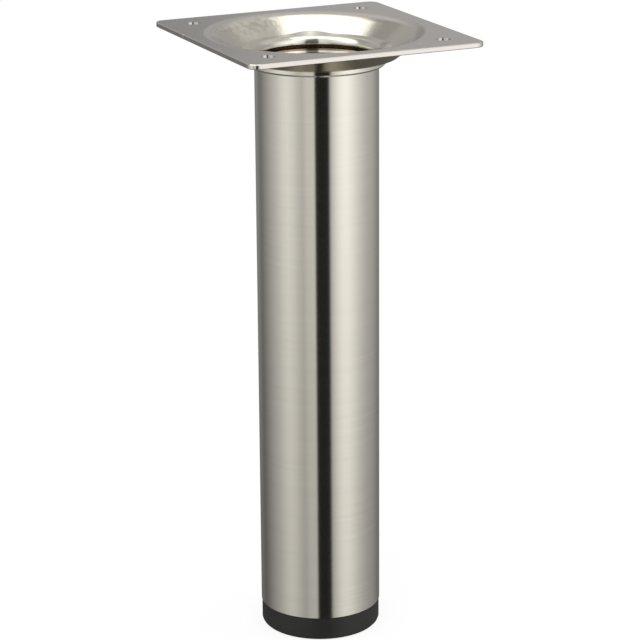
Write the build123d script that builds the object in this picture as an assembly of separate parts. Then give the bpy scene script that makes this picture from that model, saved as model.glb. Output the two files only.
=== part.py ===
from build123d import *
import math
import os

# Table leg: a square plate with a pressed dish, a round tube rolled over and beaded
# round the dish's hole, and a levelling foot on a screw in the tube's lower end.
# Millimetres, +Z up.
# The origin is the centre of the foot's underside; the plate's sides lie along X and Y.

# Overall height with the foot screwed right in
leg_height = 253.0

# Mounting plate, pressed from one square of sheet
plate_side = 100.0
plate_thickness = 2.0
plate_corner_radius = 4.0
plate_edge_break = 0.3

# Four plain screw holes
screw_spacing = 75.0
screw_hole_diameter = 5.6

# Round dish in the plate, and the hole in its flat floor
dish_rim_radius = 41.6
dish_floor_gap = 0.4
dish_depth = 8.0
rim_bend_radius = 10.0
rim_margin = 0.4
floor_bend_radius = 3.0
hole_fit = 0.1
hole_land = 0.2

# Tube, and the lip that is rolled out flat over the dish's floor at its top
tube_diameter = 50.0
tube_wall = 1.2
tube_end_break = 0.2
lip_width = 6.2
lip_roll_radius = 1.9
lip_edge_break = 0.25

# Bead folded out of the tube's wall below the dish, so that lip and bead grip the plate
bead_reach = 3.0
bead_bevel = 0.8
fold_gap = 0.6
shoulder_width = 0.8
shoulder_height = 1.6

# The lip stands up at evenly spaced places, and lies flat between them
raise_count = 4
raise_azimuth = 70.5
raise_lift = 24.0
raise_half_span = 20.0
raise_sections = 13
join_allowance = 0.0005

# Levelling foot pad
pad_height = 10.0
pad_inset = 0.25
pad_bottom_radius = 2.1
pad_bottom_bevels = 3
pad_top_break = 0.4
pad_wall = 3.6
pad_well_depth = 4.6
pad_recess_radius = 18.5
pad_recess_depth = 1.0
pad_hub_wall = 3.2
pad_rib_thickness = 1.8
pad_rib_drop = 0.8

# Screw of the foot, metric ten, with a hexagon head held in the pad
screw_diameter = 10.0
screw_length = 38.0
screw_end_bevel = 1.0
head_flats = 16.0
head_height = 6.4
head_pocket_gap = 0.1
head_sink = 0.2

# Nut and the plastic plug that holds it in the tube's end
nut_flats = 16.0
nut_height = 8.4
nut_bore_gap = 0.06
nut_pocket_gap = 0.1
nut_sink = 0.4
plug_length = 24.0
plug_wall = 2.0
plug_floor = 3.0
plug_fit = 0.05
plug_sink = 0.5
plug_roof = 5.0
plug_boss_wall = 3.0
plug_bore_gap = 0.5
plug_rib_thickness = 1.6
plug_lead_in = 0.8
rib_count = 6

# Levels and radii that follow from the sizes above
plate_top = leg_height
plate_under = plate_top - plate_thickness
floor_top = plate_top - dish_depth
floor_under = floor_top - plate_thickness
tube_radius = tube_diameter / 2
tube_bore_radius = tube_radius - tube_wall
tube_bottom = pad_height
lip_radius = tube_radius + lip_width
roll_centre = floor_top - lip_roll_radius
dish_floor_radius = lip_radius + dish_floor_gap
dish_slope = math.atan2(dish_depth, dish_rim_radius - dish_floor_radius)
hole_radius = tube_radius + hole_fit
bead_radius = tube_radius + bead_reach
bead_bottom = floor_under - fold_gap - 2 * tube_wall
plug_bottom = tube_bottom + plug_sink
plug_top = plug_bottom + plug_length
nut_bottom = plug_bottom + nut_sink
nut_top = nut_bottom + nut_height
head_top = pad_height - head_sink
head_bottom = head_top - head_height
screw_radius = screw_diameter / 2
pad_radius = tube_radius - pad_inset


# A hexagon of the given size across its flats
def hexagon(flats):
    return RegularPolygon(flats / 2, 6, major_radius=False)


# A solid pulled up from a flat shape between two levels
def upright(shape, bottom, top):
    return extrude(Pos(0, 0, bottom) * shape, top - bottom)


# A ring, or a disc where the inner radius is left out, between two levels
def ring(outer_radius, bottom, top, inner_radius=0.0):
    shape = Circle(outer_radius)
    if inner_radius > 0:
        shape -= Circle(inner_radius)
    return upright(shape, bottom, top)


# One smooth curve between two straight runs, close to an arc of the given radius
def round_bend(start, start_direction, end, end_direction, radius):
    turn = math.radians(start_direction.get_angle(end_direction))
    pull = radius * math.tan(turn / 4) * 4 / 3
    return Bezier(start, start + start_direction * pull, end - end_direction * pull, end)


# Evenly spaced upright ribs from a hub out to a wall
def spokes(inner_radius, outer_radius, thickness, bottom, top):
    middle = (inner_radius + outer_radius) / 2
    rib = upright(Pos(middle, 0) * Rectangle(outer_radius - inner_radius, thickness), bottom, top)
    return [Rot(0, 0, 360 * i / rib_count) * rib for i in range(rib_count)]


# The pressed sheet in half section, from the flat plate in to the hole
def make_dish(outer_radius):
    shift = plate_thickness * math.tan(dish_slope / 2)
    top_reach = rim_bend_radius * math.tan(dish_slope / 2)
    under_reach = (rim_bend_radius - plate_thickness) * math.tan(dish_slope / 2)
    corner_reach = floor_bend_radius * math.tan(dish_slope / 2)
    inward = Vector(-1, 0)
    down_wall = Vector(-math.cos(dish_slope), -math.sin(dish_slope))
    rim = Vector(dish_rim_radius, plate_top)
    rim_under = Vector(dish_rim_radius + shift, plate_under)
    corner_under = Vector(dish_floor_radius + shift, floor_under)
    bend_start = rim - inward * top_reach
    bend_end = rim + down_wall * top_reach
    # Rounded at the rim, turned under in bevels, and bevelled to clear the roll of the lip
    edge = Polyline(
        bend_end,
        (dish_floor_radius, floor_top),
        (hole_radius + lip_roll_radius, floor_top),
        (hole_radius, floor_under + hole_land),
        (hole_radius, floor_under),
        corner_under + inward * corner_reach,
        corner_under - down_wall * corner_reach,
        rim_under + down_wall * under_reach,
        rim_under - inward * under_reach,
        (outer_radius, plate_under),
        (outer_radius, plate_top),
        bend_start,
    )
    rim_bend = round_bend(bend_start, inward, bend_end, down_wall, rim_bend_radius)
    return revolve(Plane.XZ * make_face([edge, rim_bend]), Axis.Z)


def make_mounting_plate():
    # The dish is joined on just past the bend at its rim, where the sheet is flat again
    bend_reach = rim_bend_radius * math.tan(dish_slope / 2)
    rim_end = dish_rim_radius + bend_reach + rim_margin
    outline = RectangleRounded(plate_side, plate_side, plate_corner_radius)
    flat = upright(outline, plate_under, plate_top)
    outer_edges = flat.edges().group_by(Axis.Z)[0] + flat.edges().group_by(Axis.Z)[-1]
    flat = chamfer(outer_edges, plate_edge_break)
    flat -= ring(rim_end, plate_under, plate_top)
    plate = flat + make_dish(rim_end)
    screw_hole = ring(screw_hole_diameter / 2, plate_under, plate_top)
    for place in GridLocations(screw_spacing, screw_spacing, 2, 2):
        plate -= place * screw_hole
    return plate


# Section of the rolled lip at one direction, standing up by the given angle
def lip_section(direction, lift):
    turn = math.radians(direction)
    lean = math.radians(lift)
    plane = Plane(
        (0, 0, 0),
        x_dir=(math.cos(turn), math.sin(turn), 0),
        z_dir=(math.sin(turn), -math.cos(turn), 0),
    )
    centre = Vector(tube_radius + lip_roll_radius, roll_centre)
    up = Vector(0, 1)
    along = Vector(math.cos(lean), math.sin(lean))
    across = Vector(-math.sin(lean), math.cos(lean))
    outer_roll = lip_roll_radius + tube_wall
    flat_width = lip_radius - centre.X
    under_start = centre + across * lip_roll_radius
    under_end = under_start + along * flat_width
    top_start = centre + across * outer_roll
    top_end = top_start + along * flat_width
    back = along * lip_edge_break
    inward = across * lip_edge_break
    bore_top = Vector(tube_bore_radius, roll_centre)
    wall_top = Vector(tube_radius, roll_centre)
    # The roll is round where it shows, and a bevel over the plate's hole
    return plane * make_face([
        Polyline(
            bore_top,
            wall_top,
            under_start,
            under_end - back,
            under_end + inward,
            top_end - inward,
            top_end - back,
            top_start,
        ),
        round_bend(bore_top, up, top_start, along, outer_roll),
    ])


# The tube's wall in half section, folded out once into a bead that the plate rests on
def make_tube_wall():
    fold_bottom = bead_bottom + tube_wall
    fold_top = fold_bottom + fold_gap
    fold_radius = bead_radius - tube_wall
    section = make_face(Polyline(
        (tube_radius, tube_bottom),
        (tube_radius, bead_bottom),
        (bead_radius - bead_bevel, bead_bottom),
        (bead_radius, bead_bottom + bead_bevel),
        (bead_radius, floor_under - bead_bevel),
        (bead_radius - bead_bevel, floor_under),
        (tube_radius, floor_under),
        (tube_radius, roll_centre),
        (tube_bore_radius, roll_centre),
        (tube_bore_radius, fold_top),
        (fold_radius, fold_top),
        (fold_radius, fold_bottom),
        (tube_bore_radius + shoulder_width, fold_bottom),
        (tube_bore_radius, fold_bottom - shoulder_height),
        (tube_bore_radius, tube_bottom),
        close=True,
    ))
    wall = revolve(Plane.XZ * section, Axis.Z)
    return chamfer(wall.edges().group_by(Axis.Z)[0], tube_end_break)


# A part of the lip that rises and falls again in a smooth wave
def make_raised_lip():
    steps = [2 * i / (raise_sections - 1) - 1 for i in range(raise_sections)]
    return loft([
        lip_section(
            raise_half_span * step,
            raise_lift * math.cos(math.pi / 2 * step) ** 2,
        )
        for step in steps
    ])


def make_leg_tube():
    spacing = 360 / raise_count
    raised_lip = make_raised_lip()
    flat_lip = revolve(lip_section(raise_half_span, 0), Axis.Z, spacing - 2 * raise_half_span)
    turns = [Rot(0, 0, raise_azimuth + spacing * i) for i in range(raise_count)]
    lip = [turn * piece for turn in turns for piece in (flat_lip, raised_lip)]
    # The foot of each wave strays from the wall's circle by less than the allowance
    return make_tube_wall().fuse(*lip, tol=join_allowance)


# Plastic plug: a cup with ribs, and a boss that holds the nut from below
def make_tube_insert():
    plug_radius = tube_bore_radius - plug_fit
    skirt_bore = plug_radius - plug_wall
    boss_radius = nut_flats / math.sqrt(3) + plug_boss_wall
    boss_top = nut_top + plug_roof
    floor_top_level = plug_bottom + plug_floor
    skirt = ring(plug_radius, plug_bottom, plug_top, skirt_bore)
    skirt = chamfer(skirt.faces().sort_by(Axis.Z)[-1].outer_wire().edges(), plug_lead_in)
    body = skirt + ring(plug_radius, plug_bottom, floor_top_level)
    body += ring(boss_radius, plug_bottom, boss_top)
    reach = plug_wall / 2
    for rib in spokes(boss_radius - reach, skirt_bore + reach, plug_rib_thickness, plug_bottom, boss_top):
        body += rib
    body -= upright(hexagon(nut_flats + 2 * nut_pocket_gap), plug_bottom, nut_top)
    return body - ring(screw_radius + plug_bore_gap, plug_bottom, boss_top)


# Nut, its thread drawn as a plain bore
def make_insert_nut():
    nut = upright(hexagon(nut_flats), nut_bottom, nut_top)
    return nut - ring(screw_radius + nut_bore_gap, nut_bottom, nut_top)


# Screw of the foot, its thread drawn as a plain shank
def make_foot_spindle():
    head = upright(hexagon(head_flats), head_bottom, head_top)
    shank = ring(screw_radius, head_bottom, head_top + screw_length)
    shank = chamfer(shank.edges().group_by(Axis.Z)[-1], screw_end_bevel)
    return head + shank


# The pad in half section; its bottom edge is rounded in small equal bevels
def make_pad_body():
    turn = math.pi / 2 / (pad_bottom_bevels + 1)
    reach = pad_bottom_radius / math.cos(turn / 2)
    middle = Vector(pad_radius - pad_bottom_radius, pad_bottom_radius)
    angles = [turn * (i + 0.5) for i in range(pad_bottom_bevels + 1)]
    section = make_face(Polyline(
        (0, 0),
        *[middle + Vector(math.sin(angle), -math.cos(angle)) * reach for angle in angles],
        (pad_radius, pad_height - pad_top_break),
        (pad_radius - pad_top_break, pad_height),
        (0, pad_height),
        close=True,
    ))
    return revolve(Plane.XZ * section, Axis.Z)


# Moulded pad: a rounded cup with a ribbed hub round the screw's head
def make_foot_pad():
    hub_radius = head_flats / math.sqrt(3) + pad_hub_wall
    well_radius = pad_radius - pad_wall
    well_floor = pad_height - pad_well_depth
    body = make_pad_body()
    body -= ring(well_radius, well_floor, pad_height, hub_radius)
    reach = pad_hub_wall / 2
    rib_top = pad_height - pad_rib_drop
    for rib in spokes(hub_radius - reach, well_radius + reach, pad_rib_thickness, well_floor, rib_top):
        body += rib
    body -= upright(hexagon(head_flats + 2 * head_pocket_gap), head_bottom, pad_height)
    return body - ring(pad_recess_radius, 0, pad_recess_depth)


nodes = {
    "mounting_plate": make_mounting_plate,
    "leg_tube": make_leg_tube,
    "tube_insert": make_tube_insert,
    "insert_nut": make_insert_nut,
    "foot_spindle": make_foot_spindle,
    "foot_pad": make_foot_pad,
}

os.makedirs("parts", exist_ok=True)
for name, make in nodes.items():
    export_step(make(), "parts/" + name + ".step")
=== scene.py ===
import math

import bmesh
import bpy
from mathutils import Matrix, Vector


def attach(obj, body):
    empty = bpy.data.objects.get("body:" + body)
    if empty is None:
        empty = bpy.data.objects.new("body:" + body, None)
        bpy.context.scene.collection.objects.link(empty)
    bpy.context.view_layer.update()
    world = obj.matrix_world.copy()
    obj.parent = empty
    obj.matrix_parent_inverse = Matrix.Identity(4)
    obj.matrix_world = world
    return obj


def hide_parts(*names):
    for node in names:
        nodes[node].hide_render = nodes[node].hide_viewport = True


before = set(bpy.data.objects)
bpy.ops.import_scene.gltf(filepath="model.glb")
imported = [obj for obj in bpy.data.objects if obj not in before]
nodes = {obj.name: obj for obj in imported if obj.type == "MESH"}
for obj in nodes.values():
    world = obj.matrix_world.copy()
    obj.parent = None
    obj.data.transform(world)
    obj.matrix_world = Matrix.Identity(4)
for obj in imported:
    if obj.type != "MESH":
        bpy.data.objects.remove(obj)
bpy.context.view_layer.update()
print("frame loaded:", ", ".join(sorted(nodes)))


# ---- small helpers for node trees and meshes

class Signal:  # one output of a node; sums on it add Math nodes
    def __init__(self, sheet, socket):
        self.sheet = sheet
        self.socket = socket

    def calc(self, operation, first, second):
        return self.sheet.node("ShaderNodeMath", {"operation": operation}, {0: first, 1: second})

    def __add__(self, other):
        return self.calc("ADD", self, other)

    def __radd__(self, other):
        return self.calc("ADD", other, self)

    def __sub__(self, other):
        return self.calc("SUBTRACT", self, other)

    def __rsub__(self, other):
        return self.calc("SUBTRACT", other, self)

    def __mul__(self, other):
        return self.calc("MULTIPLY", self, other)

    def __truediv__(self, other):
        return self.calc("DIVIDE", self, other)


class Sheet:  # a node tree that is being filled
    def __init__(self, tree):
        self.tree = tree
        tree.nodes.clear()

    def node(self, kind, settings=None, inputs=None, output=0):
        made = self.tree.nodes.new(kind)
        for name, value in (settings or {}).items():
            if name == "stops":
                self.fillRamp(made.color_ramp, value)
            else:
                setattr(made, name, value)
        for name, value in (inputs or {}).items():
            if isinstance(value, Signal):
                self.tree.links.new(value.socket, made.inputs[name])
            else:
                made.inputs[name].default_value = value
        return Signal(self, made.outputs[output]) if made.outputs else made

    def fillRamp(self, ramp, stops):
        while len(ramp.elements) < len(stops):
            ramp.elements.new(0.5)
        for element, (place, level) in zip(ramp.elements, stops):
            element.position = place
            element.color = (level, level, level, 1)

    def blend(self, factor, first, second):
        return self.node(
            "ShaderNodeMix", {"data_type": "RGBA"}, {0: factor, 6: first, 7: second}, 2
        )

    def ease(self, value, start, end, low=0.0, high=1.0):
        settings = {"interpolation_type": "SMOOTHSTEP"}
        inputs = {
            "Value": value, "From Min": start, "From Max": end, "To Min": low, "To Max": high,
        }
        return self.node("ShaderNodeMapRange", settings, inputs)

    def vector(self, operation, inputs, output="Vector"):
        return self.node("ShaderNodeVectorMath", {"operation": operation}, inputs, output)

    def whereabouts(self):  # the place seen from above, its distance from the axis, its height
        here = self.node("ShaderNodeTexCoord", output="Object")
        across = self.vector("MULTIPLY", {0: here, 1: (1, 1, 0)})
        radius = self.vector("LENGTH", {0: across}, "Value")
        return across, radius, self.node("ShaderNodeSeparateXYZ", None, {"Vector": here}, "Z")

    def place(self, scale):  # object coordinates, stretched by three numbers
        here = self.node("ShaderNodeTexCoord", output="Object")
        return self.node("ShaderNodeMapping", None, {"Vector": here, "Scale": scale})

    def noise(self, scale, detail):
        inputs = {"Vector": self.place(scale), "Scale": 1.0, "Detail": detail}
        return self.node("ShaderNodeTexNoise", None, inputs)

    def bump(self, strength, distance, height):
        inputs = {"Strength": strength, "Distance": distance, "Height": height}
        return self.node("ShaderNodeBump", None, inputs)

    def surface(self, shader):
        self.node("ShaderNodeOutputMaterial", None, {"Surface": shader})

    def principled(self, inputs):
        self.surface(self.node("ShaderNodeBsdfPrincipled", None, inputs))


def newMaterial(name):
    made = bpy.data.materials.new(name)
    made.use_nodes = True
    return made, Sheet(made.node_tree)


def tinted(colour, share):
    return tuple(min(1, part * share) for part in colour) + (1,)


def mixed(first, second, share):
    return first * share + second * (1 - share)


def unevenRoughness(look, amount):  # the roughness, spread evenly both ways by a noise
    return look["roughness"] - look["uneven"] / 2 + amount * look["uneven"]


def wear(node, material):  # the same finish all over a node of the frame
    target = nodes[node]
    target.data.materials.clear()
    target.data.materials.append(material)


# ---- finishes

tubeFinish = {
    "colour": (0.66, 0.634, 0.558),
    "lineLength": 0.035,  # how far a brush line runs round the tube
    "finePerMetre": 1800,
    "bandPerMetre": 260,
    "bandStretch": 3,  # how many times longer a band is than a brush line
    "fineShare": 0.6,
    "contrast": 0.07,
    "roughness": 0.175,
    "uneven": 0.04,
    "bumpStrength": 0.5,
    "bumpHeight": 0.000004,
    "stretch": 0.9,
    "stretchTurn": 0.25,  # the lines run round, so a highlight spreads up and down
    "unpolishedShadeColour": (0.26, 0.19, 0.12),  # the unpolished inside, made darker still by painted shade; also painted on the fold's inside
    "boreRadius": 0.0242,
    "boreTop": 0.2392,
    "foldRadius": 0.0272,  # the inside of the fold below the plate, where shade is painted
    "foldHeights": (0.2404, 0.243),
}


def unpolishedAndShaded(sheet):  # 1 on the unpolished inside of the tube and on the inside of its fold, both given painted shade, else 0
    look = tubeFinish
    across, radius, height = sheet.whereabouts()
    inTube = height.calc("LESS_THAN", radius, look["boreRadius"])
    inTube = inTube * height.calc("LESS_THAN", height, look["boreTop"])
    low, high = look["foldHeights"]
    inFold = height.calc("LESS_THAN", radius, look["foldRadius"])
    inFold = inFold * height.calc("GREATER_THAN", height, low)
    inFold = inFold * height.calc("LESS_THAN", height, high)
    return height.calc("MAXIMUM", inTube, inFold)


def brushedNickel():
    look = tubeFinish
    material, sheet = newMaterial("brushedNickel")
    run = 1 / look["lineLength"]
    fine = sheet.noise((run, run, look["finePerMetre"]), 2)
    bandRun = run / look["bandStretch"]
    bands = sheet.noise((bandRun, bandRun, look["bandPerMetre"]), 2)
    lines = mixed(fine, bands, look["fineShare"])
    colour = sheet.blend(
        lines,
        tinted(look["colour"], 1 - look["contrast"]),
        tinted(look["colour"], 1 + look["contrast"]),
    )
    # painted shade inside the tube and on the fold's inside, over the darker unpolished steel
    colour = sheet.blend(unpolishedAndShaded(sheet), colour, tinted(look["unpolishedShadeColour"], 1))
    bump = sheet.bump(look["bumpStrength"], look["bumpHeight"], fine)
    sheet.principled({
        "Base Color": colour,
        "Metallic": 1.0,
        "Roughness": unevenRoughness(look, lines),
        "Anisotropic": look["stretch"],
        "Anisotropic Rotation": look["stretchTurn"],
        "Normal": bump,
    })
    return material


plateFinish = {
    "colour": (0.62, 0.58, 0.54),
    "dishColour": (0.62, 0.585, 0.505),
    # painted shade: the plate's underside is coloured darker and browner
    "underShadeColour": (0.48, 0.42, 0.315),
    "dishEdge": (0.044, 0.038),  # radii between which the dish takes over from the flats
    "mottlePerMetre": 420,
    "underLine": {"radius": 0.0316, "slope": 0.8, "height": 0.244},  # the underside lies below it
    "underReach": 0.0425,  # and no further from the axis than this
    "grainPerMetre": 1600,
    "mottleShare": 0.6,
    "contrast": 0.05,
    "roughness": 0.18,
    "uneven": 0.06,
    "flatWaves": 0.000004,  # height of the uneven surface
    "dishWaves": 0.00003,
    "dents": 0.00006,  # where the dish is mottled, on one side
    "dentShades": (0.88, 1.12),
    "dentBlend": (0.38, 0.62),  # noise levels between which the darker shade gives way
    "dentsFrom": (0.03, 0.038),
    "dentsToward": (-0.427, 0.904, 0),
}
plateHoles = {  # bump that stands in for the light on each screw hole's wall
    "place": 0.0375,
    "reach": 0.003,
    "top": 0.253,
    "depth": 0.0011,
    "slope": 0.3,
    # painted shade: share of the plate's colour kept inside the screw holes
    "shade": 0.8,
}
specks = {  # small near-white dots painted on the plate, at places seen from above
    "at": [(-0.0482, -0.016), (-0.0498, 0.018), (0.0256, -0.0407), (0.0262, 0.0449)],
    "radius": 0.0006,
    "colour": (1.0, 0.98, 0.95),
}


def drawnHoles(sheet, across, height):  # 1 in the holes, and the bump's height on their walls
    hole = plateHoles
    corner = sheet.vector("ABSOLUTE", {0: across})
    centre = (hole["place"], hole["place"], 0)
    inside = height.calc(
        "LESS_THAN", sheet.vector("DISTANCE", {0: corner, 1: centre}, "Value"), hole["reach"]
    )
    depth = height.calc("MINIMUM", hole["top"] - height, hole["depth"])
    return inside, inside * depth * hole["slope"]


def pressedNickel():
    look = plateFinish
    material, sheet = newMaterial("pressedNickel")
    across, radius, height = sheet.whereabouts()
    mottle = sheet.noise((look["mottlePerMetre"],) * 3, 3)
    grain = sheet.noise((look["grainPerMetre"],) * 3, 2)
    both = mixed(mottle, grain, look["mottleShare"])
    inDish = sheet.ease(radius, *look["dishEdge"])
    line = look["underLine"]
    lineHeight = (radius - line["radius"]) * line["slope"] + line["height"]
    # painted shade on the plate's underside, below this line and within this reach
    shadedUnderside = height.calc("LESS_THAN", height, lineHeight)
    shadedUnderside = shadedUnderside * height.calc("LESS_THAN", radius, look["underReach"])
    colour = sheet.blend(inDish, tinted(look["colour"], 1), tinted(look["dishColour"], 1))
    colour = sheet.blend(shadedUnderside, colour, tinted(look["underShadeColour"], 1))
    side = sheet.vector("DOT_PRODUCT", {0: across, 1: look["dentsToward"]}, "Value")
    dented = inDish * sheet.ease(side, *look["dentsFrom"])
    dark, pale = [tinted(look["dishColour"], share) for share in look["dentShades"]]
    dents = sheet.blend(sheet.ease(mottle, *look["dentBlend"]), dark, pale)
    colour = sheet.blend(dented, colour, dents)
    inHole, drawn = drawnHoles(sheet, across, height)
    # painted shade darkens the screw holes
    colour = sheet.blend(inHole, colour, tinted(look["colour"], plateHoles["shade"]))
    for spot in specks["at"]:
        away = sheet.vector("DISTANCE", {0: across, 1: (*spot, 0)}, "Value")
        mark = sheet.ease(away, specks["radius"], specks["radius"] / 2)
        colour = sheet.blend(mark, colour, tinted(specks["colour"], 1))
    shade = sheet.blend(
        both, tinted((1, 1, 1), 1 - look["contrast"]), tinted((1, 1, 1), 1)
    )
    multiply = {"data_type": "RGBA", "blend_type": "MULTIPLY"}
    colour = sheet.node("ShaderNodeMix", multiply, {0: 1.0, 6: colour, 7: shade}, 2)
    waves = inDish * look["dishWaves"] + dented * look["dents"] + look["flatWaves"]
    bump = sheet.bump(1.0, 1.0, mottle * waves + drawn)  # heights in metres
    sheet.principled({
        "Base Color": colour,
        "Metallic": 1.0,
        "Roughness": unevenRoughness(look, both),
        "Normal": bump,
    })
    return material


plasticFinish = {
    "colour": (0.013, 0.0125, 0.0118),
    "grainPerMetre": 2600,
    "cloudPerMetre": 90,
    "shades": (0.8, 1.3),
    "roughness": 0.5,
    "uneven": 0.1,
    "bumpStrength": 0.6,
    "bumpHeight": 0.00002,
    "shine": 0.35,
}


def blackPlastic():
    look = plasticFinish
    material, sheet = newMaterial("blackPlastic")
    grain = sheet.noise((look["grainPerMetre"],) * 3, 2)
    cloud = sheet.noise((look["cloudPerMetre"],) * 3, 2)
    colour = sheet.blend(cloud, *[tinted(look["colour"], share) for share in look["shades"]])
    bump = sheet.bump(look["bumpStrength"], look["bumpHeight"], grain)
    sheet.principled({
        "Base Color": colour,
        "Roughness": unevenRoughness(look, cloud),
        "Specular IOR Level": look["shine"],
        "Normal": bump,
    })
    return material


zincFinish = {
    "colour": (0.62, 0.64, 0.66),
    "cloudPerMetre": 160,
    "grainPerMetre": 1800,
    "contrast": 0.08,
    "roughness": 0.27,
    "uneven": 0.1,
    "bumpStrength": 0.4,
    "bumpHeight": 0.00001,
}


def brightZinc():
    look = zincFinish
    material, sheet = newMaterial("brightZinc")
    cloud = sheet.noise((look["cloudPerMetre"],) * 3, 3)
    grain = sheet.noise((look["grainPerMetre"],) * 3, 2)
    colour = sheet.blend(
        cloud,
        tinted(look["colour"], 1 - look["contrast"]),
        tinted(look["colour"], 1 + look["contrast"]),
    )
    bump = sheet.bump(look["bumpStrength"], look["bumpHeight"], grain)
    sheet.principled({
        "Base Color": colour,
        "Metallic": 1.0,
        "Roughness": unevenRoughness(look, cloud),
        "Normal": bump,
    })
    return material


tubeMetal = brushedNickel()
plateMetal = pressedNickel()
plastic = blackPlastic()
zinc = brightZinc()
wear("mounting_plate", plateMetal)
wear("leg_tube", tubeMetal)
wear("tube_insert", plastic)
wear("foot_pad", plastic)
wear("insert_nut", zinc)
print("finishes on the frame's nodes")


# ---- the foot's screw, with its thread

screw = {
    "headBottom": 0.0034,
    "headTop": 0.0098,
    "headFlats": 0.016,
    "headBevel": 0.0005,
    "top": 0.0478,
    "coreRadius": 0.00415,
    "coreInHead": 0.0005,  # how far the core reaches down into the head
    "coreSides": 48,
    "crestRadius": 0.00498,
    "crestWidth": 0.0002,
    "rootWidth": 0.00135,
    "pitch": 0.0015,
    "endBevel": 0.001,
    "ridgeInCore": 0.00008,  # how far the thread reaches into the core
    "stepsPerTurn": 24,
    "mergeGap": 0.000001,
    "sharpAngle": 28,
}


def strip(bm, points):  # a line of edges through the points, ready to be spun
    corners = [bm.verts.new(point) for point in points]
    edges = [bm.edges.new(pair) for pair in zip(corners, corners[1:])]
    return corners + edges


def footScrew():
    size = screw
    bm = bmesh.new()
    neck = size["coreRadius"] - size["endBevel"]
    coreBottom = size["headTop"] - size["coreInHead"]
    outline = [
        (0, 0, coreBottom),
        (size["coreRadius"], 0, coreBottom),
        (size["coreRadius"], 0, size["top"] - size["endBevel"]),
        (neck, 0, size["top"]),
        (0, 0, size["top"]),
    ]
    bmesh.ops.spin(
        bm, geom=strip(bm, outline), cent=(0, 0, 0), axis=(0, 0, 1), dvec=(0, 0, 0),
        angle=2 * math.pi, steps=size["coreSides"], use_merge=True, use_duplicate=False,
    )
    half = size["rootWidth"] / 2
    crest = size["crestWidth"] / 2
    start = size["headTop"] + half
    turns = int((size["top"] - size["endBevel"] - half - start) / size["pitch"])
    sunk = size["coreRadius"] - size["ridgeInCore"]
    ridge = [
        (sunk, 0, start - half),
        (size["crestRadius"], 0, start - crest),
        (size["crestRadius"], 0, start + crest),
        (sunk, 0, start + half),
    ]
    corners = strip(bm, ridge)
    bm.faces.new(corners[:4])
    spun = bmesh.ops.spin(
        bm, geom=corners, cent=(0, 0, 0), axis=(0, 0, 1),
        dvec=(0, 0, size["pitch"] / size["stepsPerTurn"]), angle=2 * math.pi * turns,
        steps=size["stepsPerTurn"] * turns, use_merge=False, use_duplicate=False,
    )
    lastCorners = [part for part in spun["geom_last"] if isinstance(part, bmesh.types.BMVert)]
    bmesh.ops.contextual_create(bm, geom=lastCorners)
    seat = Matrix.Translation((0, 0, size["headBottom"])) @ Matrix.Rotation(math.pi / 2, 4, "Z")
    head = bmesh.ops.create_circle(
        bm, cap_ends=True, radius=size["headFlats"] / 2 / math.cos(math.pi / 6), segments=6,
        matrix=seat,
    )
    base = list({face for corner in head["verts"] for face in corner.link_faces})
    raised = bmesh.ops.extrude_face_region(bm, geom=base)
    lifted = [part for part in raised["geom"] if isinstance(part, bmesh.types.BMVert)]
    bmesh.ops.translate(
        bm, verts=lifted, vec=(0, 0, size["headTop"] - size["headBottom"])
    )
    topEdges = [
        edge for edge in bm.edges
        if all(corner in lifted for corner in edge.verts)
    ]
    bmesh.ops.bevel(
        bm, geom=topEdges, offset=size["headBevel"], offset_type="OFFSET", affect="EDGES",
        segments=1, profile=0.5, material=-1,
    )
    bmesh.ops.remove_doubles(bm, verts=bm.verts[:], dist=size["mergeGap"])
    bmesh.ops.recalc_face_normals(bm, faces=bm.faces[:])
    mesh = bpy.data.meshes.new("threadedScrew")
    bm.to_mesh(mesh)
    bm.free()
    mesh.materials.append(zinc)
    made = bpy.data.objects.new("threadedScrew", mesh)
    bpy.context.scene.collection.objects.link(made)
    mesh.shade_smooth()
    mesh.set_sharp_from_angle(angle=math.radians(size["sharpAngle"]))
    return made


threadedScrew = footScrew()
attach(threadedScrew, "foot")
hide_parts("foot_spindle")
print("foot screw made:", len(threadedScrew.data.polygons), "faces")


# ---- camera

shot = {
    "aim": (0.000572, -0.000264, 0.13264),
    "distance": 1.06428,
    "heading": -114.726,  # degrees, where the camera stands round the leg
    "elevation": 17.328,
    "roll": -0.408,
    "lens": 145.426,
    "sensor": 36,
    "clip": (0.05, 50),
}


def placeCamera():
    heading = math.radians(shot["heading"])
    elevation = math.radians(shot["elevation"])
    away = Vector((
        math.cos(elevation) * math.cos(heading),
        math.cos(elevation) * math.sin(heading),
        math.sin(elevation),
    ))
    data = bpy.data.cameras.new("camera")
    data.lens = shot["lens"]
    data.sensor_width = shot["sensor"]
    data.clip_start, data.clip_end = shot["clip"]
    made = bpy.data.objects.new("camera", data)
    bpy.context.scene.collection.objects.link(made)
    turn = (-away).to_track_quat("-Z", "Y").to_matrix().to_4x4()
    roll = Matrix.Rotation(math.radians(shot["roll"]), 4, "Z")
    made.matrix_world = (
        Matrix.Translation(Vector(shot["aim"]) + shot["distance"] * away) @ turn @ roll
    )
    bpy.context.scene.camera = made


placeCamera()
print("camera placed")


# ---- studio: a ring of soft boxes with a gap in front, and one box overhead

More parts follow.
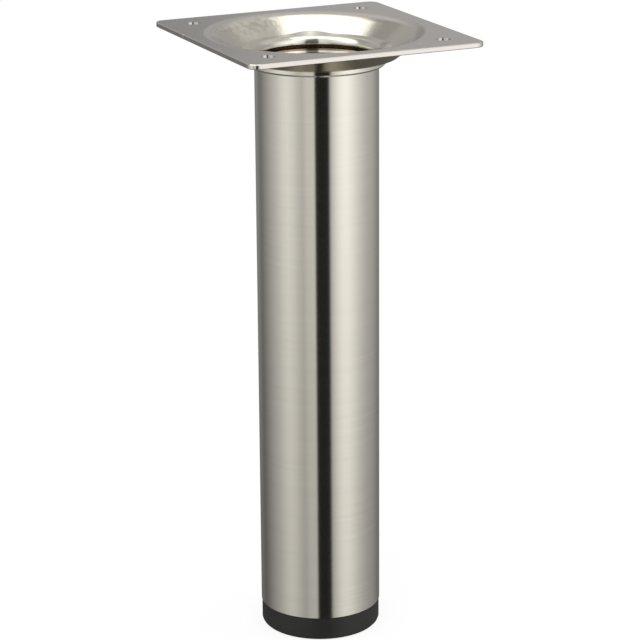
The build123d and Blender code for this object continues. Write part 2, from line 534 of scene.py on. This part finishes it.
ring = {  # degrees to the right of the camera, and how bright the ring is there
    "levels": [
        (-180, 0.24), (-147, 0.32), (-137, 0.24), (-130, 0.24), (-123, 0.29), (-106, 0.5),
        (-92, 0.69), (-80, 0.86), (-68, 1.08), (-57, 1.18), (-46, 1.06), (-37, 0.88), (-28, 0.75),
        (-18, 0.93), (-9, 0.95), (-5.5, 0.95), (-3, 0.02), (21, 0.02), (24.5, 0.72),
        (28, 0.93), (37, 1.3), (46, 1.53), (57, 1.57), (68, 1.38), (80, 1.11), (92, 0.9),
        (106, 0.72), (123, 0.6), (147, 0.34), (180, 0.24),
    ],
    "lowest": 0.5,  # share of the light at the ring's foot
    "footHeights": (-0.45, -0.15),  # between them the light rises from that share to all of it
    "above": 0.95,  # share above the horizon
    "horizonHeights": (0, 0.25),
    "glow": 0.18,  # light added high up, in the gap too
    "glowHeights": (0.2, 0.5),
}
farSky = {  # behind the leg, by height from 0 at the horizon to 1 straight up
    "levels": [
        (0.0, 0.64), (0.12, 0.5), (0.2, 0.46), (0.3, 0.5), (0.45, 0.54), (0.55, 0.71),
        (0.65, 0.76), (0.8, 0.68), (1.0, 0.66),
    ],
    "lowGap": {  # two darker places, each with its soft edges
        "depth": 0.33, "right": (-0.005, -0.05), "left": (-0.25, -0.1), "height": (0.35, 0.22),
    },
    "highGap": {"depth": 0.4, "right": (-0.24, -0.36), "height": (0.45, 0.6)},
    "toward": (0.1, -0.35),  # how far behind the leg it takes over from the ring
    "rise": (0.0, 0.15),  # and how far above the horizon
}
overhead = {  # box above, in slopes from straight up: where each soft edge starts and ends
    "turn": -16.7,  # degrees against the camera
    "right": (-0.52, -0.33),
    "left": (2.3, 1.7),
    "near": (-0.45, -0.12),
    "far": (0.67, 0.43),
    "level": 2.15,
    "lowest": 0.05,  # slopes are worked out no nearer the horizon than this
}
background = {"white": 1.0, "onMatt": 0.85}
lamps = {
    "key": {"at": (-0.9, -0.9, 1.5), "size": 1.2, "power": 5.0},
    "fill": {"at": (1.2, -0.5, 1.1), "size": 1.2, "power": 3.0},
}
floorLook = {"radius": 9.0, "sides": 96, "ownLight": 0.85, "colour": 0.93, "glow": 1.03}


def normalisedStops(levels, first, last):
    peak = max(level for place, level in levels)
    return peak, [((place - first) / (last - first), level / peak) for place, level in levels]


def lightStudio():
    world = bpy.data.worlds.new("studio")
    bpy.context.scene.world = world
    world.use_nodes = True
    sheet = Sheet(world.node_tree)
    direction = sheet.node("ShaderNodeTexCoord", output="Generated")
    heading = math.radians(shot["heading"])

    def along(way):  # part of the direction that points one way
        return sheet.vector("DOT_PRODUCT", {0: direction, 1: way}, "Value")

    def levelled(look, first, last, place):
        peak, stops = normalisedStops(look["levels"], first, last)
        return sheet.node("ShaderNodeValToRGB", {"stops": stops}, {"Fac": place}) * peak

    toward = along((math.cos(heading), math.sin(heading), 0))
    right = along((-math.sin(heading), math.cos(heading), 0))
    height = along((0, 0, 1))
    turn = toward.calc("ARCTAN2", right, toward) / (2 * math.pi) + 0.5
    front = levelled(ring, -180, 180, turn)
    front = front * sheet.ease(height, *ring["footHeights"], ring["lowest"])
    front = front * sheet.ease(height, *ring["horizonHeights"], 1, ring["above"])
    front = front + sheet.ease(height, *ring["glowHeights"], 0, ring["glow"])
    far = levelled(farSky, 0, 1, height)
    for gap in (farSky["lowGap"], farSky["highGap"]):
        dim = sheet.ease(right, *gap["right"])
        if "left" in gap:
            dim = dim * sheet.ease(right, *gap["left"])
        far = far * (1 - dim * sheet.ease(height, *gap["height"]) * gap["depth"])
    behind = sheet.ease(toward, *farSky["toward"]) * sheet.ease(height, *farSky["rise"])
    high = height.calc("MAXIMUM", height, overhead["lowest"])
    slopeRight = right / high
    slopeFar = 0 - toward / high
    turned = math.radians(overhead["turn"])
    sideways = slopeFar * math.sin(turned) - slopeRight * math.cos(turned)
    away = slopeRight * math.sin(turned) + slopeFar * math.cos(turned)
    box = sheet.ease(sideways, *overhead["right"]) * sheet.ease(sideways, *overhead["left"])
    box = box * sheet.ease(away, *overhead["near"]) * sheet.ease(away, *overhead["far"])
    boxes = front * (1 - behind) + far * behind
    boxes = boxes * (1 - box) + box * overhead["level"]
    path = sheet.node("ShaderNodeLightPath").socket.node
    inMetal = Signal(sheet, path.outputs["Is Glossy Ray"])
    onMatt = Signal(sheet, path.outputs["Is Diffuse Ray"])
    plain = background["white"] - onMatt * (background["white"] - background["onMatt"])
    strength = boxes * inMetal + plain * (1 - inMetal)
    inputs = {"Color": (1, 1, 1, 1), "Strength": strength}
    light = sheet.node("ShaderNodeBackground", None, inputs)
    sheet.node("ShaderNodeOutputWorld", None, {"Surface": light})


def hangLamp(name, lamp):
    data = bpy.data.lights.new(name, "AREA")
    data.shape = "DISK"
    data.size = lamp["size"]
    data.energy = lamp["power"]
    made = bpy.data.objects.new(name, data)
    bpy.context.scene.collection.objects.link(made)
    at = Vector(lamp["at"])
    aim = Vector(shot["aim"]) - at
    turn = aim.to_track_quat("-Z", "Y").to_matrix().to_4x4()
    made.matrix_world = Matrix.Translation(at) @ turn
    made.visible_glossy = False


def layFloor():
    bm = bmesh.new()
    bmesh.ops.create_circle(
        bm, cap_ends=True, radius=floorLook["radius"], segments=floorLook["sides"]
    )
    mesh = bpy.data.meshes.new("floor")
    bm.to_mesh(mesh)
    bm.free()
    material, sheet = newMaterial("paleFloor")
    path = sheet.node("ShaderNodeLightPath").socket.node
    seen = Signal(sheet, path.outputs["Is Camera Ray"])
    through = Signal(sheet, path.outputs["Is Transmission Ray"])
    colour = tinted((1, 1, 1), floorLook["colour"])
    matt = sheet.node("ShaderNodeBsdfDiffuse", None, {"Color": colour})
    inputs = {"Color": (1, 1, 1, 1), "Strength": floorLook["glow"]}
    glow = sheet.node("ShaderNodeEmission", None, inputs)
    share = (seen + through) * floorLook["ownLight"]
    sheet.surface(sheet.node("ShaderNodeMixShader", None, {0: share, 1: matt, 2: glow}))
    mesh.materials.append(material)
    made = bpy.data.objects.new("floor", mesh)
    bpy.context.scene.collection.objects.link(made)
    made.visible_glossy = False  # metal shows the soft boxes down to their feet
    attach(made, "foot")  # the leg stands on its foot, however far that is screwed out


lightStudio()
for lampName, lamp in lamps.items():
    hangLamp(lampName, lamp)
layFloor()
bpy.context.scene.view_settings.view_transform = "Standard"
print("studio lit")


# ---- sizes
